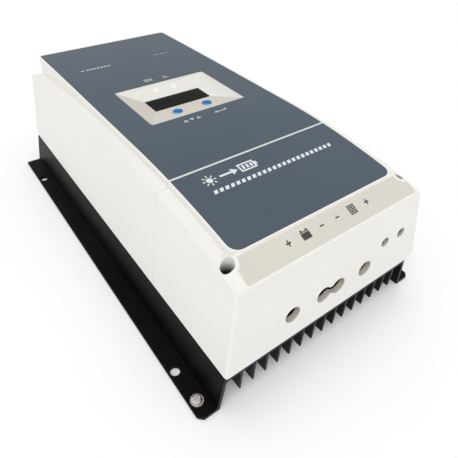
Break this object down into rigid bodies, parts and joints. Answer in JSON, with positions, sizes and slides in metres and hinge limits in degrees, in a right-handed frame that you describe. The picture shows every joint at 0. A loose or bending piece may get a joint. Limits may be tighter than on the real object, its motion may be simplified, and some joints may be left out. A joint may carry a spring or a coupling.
{
  "type": "charge controller",
  "caption": "Wall-mount solar charge controller: drafted two-part plastic cover with a sloping display tray on a finned, flanged heatsink.",
  "frame": {"origin": "middle of the wall-side face, between the two flanges", "axes": "+Z out of the front face, +Y from the cable end to the far end, +X to the right as seen on the wall with the cable end down"},
  "size_m": [0.24, 0.394, 0.134],
  "materials": {
    "anodised_heatsink": "black anodised extrusion, satin",
    "cover_plastic": "fine moulded texture, warm off-white",
    "label_film": "slate grey printed film",
    "window": "dark clear window over the display",
    "lcd": "dark liquid-crystal glass in a frame",
    "circuit_board": "green solder mask",
    "switch_body": "black",
    "plunger": "cream",
    "key_cap": "blue, satin",
    "light_pipe": "clear to milky",
    "ribbon": "grey flat cable",
    "standoff_brass": "turned",
    "fastener_steel": "bright zinc plate",
    "winding": "enamelled windings on a powder core",
    "capacitor_sleeve": "dark sleeve",
    "thermal_pad": "soft grey pad",
    "transistor_body": "black moulded",
    "terminal_plastic": "black glass-filled",
    "clamp_metal": "plated",
    "port_plastic": "black",
    "connector_plastic": "green"
  },
  "bodies": {
    "housing": {"heatsink": "anodised_heatsink", "upper_cover": "cover_plastic", "upper_label": "label_film", "display_bezel": "cover_plastic", "lcd_window": "window", "lcd_module": "lcd", "display_board": "circuit_board", "select_switch": "switch_body", "enter_switch": "switch_body", "charging_light_pipe": "light_pipe", "fault_light_pipe": "light_pipe", "ribbon_cable": "ribbon", "main_board": "circuit_board", "board_standoff_1": "standoff_brass", "board_standoff_2": "standoff_brass", "board_standoff_3": "standoff_brass", "board_standoff_4": "standoff_brass", "board_screw_1": "fastener_steel", "board_screw_2": "fastener_steel", "board_screw_3": "fastener_steel", "board_screw_4": "fastener_steel", "inductor_1": "winding", "inductor_2": "winding", "capacitor_1": "capacitor_sleeve", "capacitor_2": "capacitor_sleeve", "capacitor_3": "capacitor_sleeve", "capacitor_4": "capacitor_sleeve", "thermal_pad": "thermal_pad", "power_transistor_1": "transistor_body", "power_transistor_2": "transistor_body", "power_transistor_3": "transistor_body", "power_transistor_4": "transistor_body", "clamp_bar": "fastener_steel", "terminal_block": "terminal_plastic", "communication_port": "port_plastic", "sensor_connector": "connector_plastic", "upper_cover_screw_1": "fastener_steel", "upper_cover_screw_2": "fastener_steel", "upper_cover_screw_3": "fastener_steel", "upper_cover_screw_4": "fastener_steel", "ground_washer": "fastener_steel"},
    "select_key": {"select_button": "key_cap", "select_plunger": "plunger"},
    "enter_key": {"enter_button": "key_cap", "enter_plunger": "plunger"},
    "terminal_cover_body": {"terminal_cover": "cover_plastic", "terminal_label": "label_film"},
    "cover_screw_left": {"terminal_cover_screw_left": "fastener_steel"},
    "cover_screw_right": {"terminal_cover_screw_right": "fastener_steel"},
    "ground_screw_body": {"ground_screw": "fastener_steel"},
    "terminal_screw_body_1": {"terminal_screw_1": "fastener_steel"},
    "clamp_plate_body_1": {"clamp_plate_1": "clamp_metal"},
    "terminal_screw_body_2": {"terminal_screw_2": "fastener_steel"},
    "clamp_plate_body_2": {"clamp_plate_2": "clamp_metal"},
    "terminal_screw_body_3": {"terminal_screw_3": "fastener_steel"},
    "clamp_plate_body_3": {"clamp_plate_3": "clamp_metal"},
    "terminal_screw_body_4": {"terminal_screw_4": "fastener_steel"},
    "clamp_plate_body_4": {"clamp_plate_4": "clamp_metal"}
  },
  "joints": [
    {"name": "select_press", "type": "slide", "parent": "housing", "child": "select_key", "axis": [0, 0, -1], "range_m": [0, 0.0005], "stiffness_N_per_m": 3000, "springref_m": -0.0004},
    {"name": "enter_press", "type": "slide", "parent": "housing", "child": "enter_key", "axis": [0, 0, -1], "range_m": [0, 0.0005], "stiffness_N_per_m": 3000, "springref_m": -0.0004},
    {"name": "terminal_cover_lift", "type": "slide", "parent": "housing", "child": "terminal_cover_body", "axis": [0, 0, 1], "range_m": [0, 0.15]},
    {"name": "cover_screw_left_turn", "type": "hinge", "parent": "terminal_cover_body", "child": "cover_screw_left", "pos_m": [-0.0845, -0.1739, 0.0983], "axis": [0, 0, 1], "range_deg": [0, 2160]},
    {"name": "cover_screw_right_turn", "type": "hinge", "parent": "terminal_cover_body", "child": "cover_screw_right", "pos_m": [0.0845, -0.1739, 0.0983], "axis": [0, 0, 1], "range_deg": [0, 2160]},
    {"name": "terminal_screw_1_turn", "type": "hinge", "parent": "housing", "child": "terminal_screw_body_1", "pos_m": [-0.04, -0.149, 0.0755], "axis": [0, 0, -1], "range_deg": [0, 2880]},
    {"name": "clamp_plate_1_rise", "type": "slide", "parent": "housing", "child": "clamp_plate_body_1", "axis": [0, 0, 1], "range_m": [0, 0.008]},
    {"name": "terminal_screw_2_turn", "type": "hinge", "parent": "housing", "child": "terminal_screw_body_2", "pos_m": [-0.0147, -0.149, 0.0755], "axis": [0, 0, -1], "range_deg": [0, 2880]},
    {"name": "clamp_plate_2_rise", "type": "slide", "parent": "housing", "child": "clamp_plate_body_2", "axis": [0, 0, 1], "range_m": [0, 0.008]},
    {"name": "terminal_screw_3_turn", "type": "hinge", "parent": "housing", "child": "terminal_screw_body_3", "pos_m": [0.0107, -0.149, 0.0755], "axis": [0, 0, -1], "range_deg": [0, 2880]},
    {"name": "clamp_plate_3_rise", "type": "slide", "parent": "housing", "child": "clamp_plate_body_3", "axis": [0, 0, 1], "range_m": [0, 0.008]},
    {"name": "terminal_screw_4_turn", "type": "hinge", "parent": "housing", "child": "terminal_screw_body_4", "pos_m": [0.036, -0.149, 0.0755], "axis": [0, 0, -1], "range_deg": [0, 2880]},
    {"name": "clamp_plate_4_rise", "type": "slide", "parent": "housing", "child": "clamp_plate_body_4", "axis": [0, 0, 1], "range_m": [0, 0.008]},
    {"name": "ground_screw_turn", "type": "hinge", "parent": "housing", "child": "ground_screw_body", "pos_m": [-0.1135, -0.183, 0.0044], "axis": [0, 0, 1], "range_deg": [0, 720]}
  ],
  "couplings": [
    {"joint": "terminal_screw_1_turn", "follows": "clamp_plate_1_rise", "rad_per_m": 6283.2},
    {"joint": "terminal_screw_2_turn", "follows": "clamp_plate_2_rise", "rad_per_m": 6283.2},
    {"joint": "terminal_screw_3_turn", "follows": "clamp_plate_3_rise", "rad_per_m": 6283.2},
    {"joint": "terminal_screw_4_turn", "follows": "clamp_plate_4_rise", "rad_per_m": 6283.2}
  ]
}
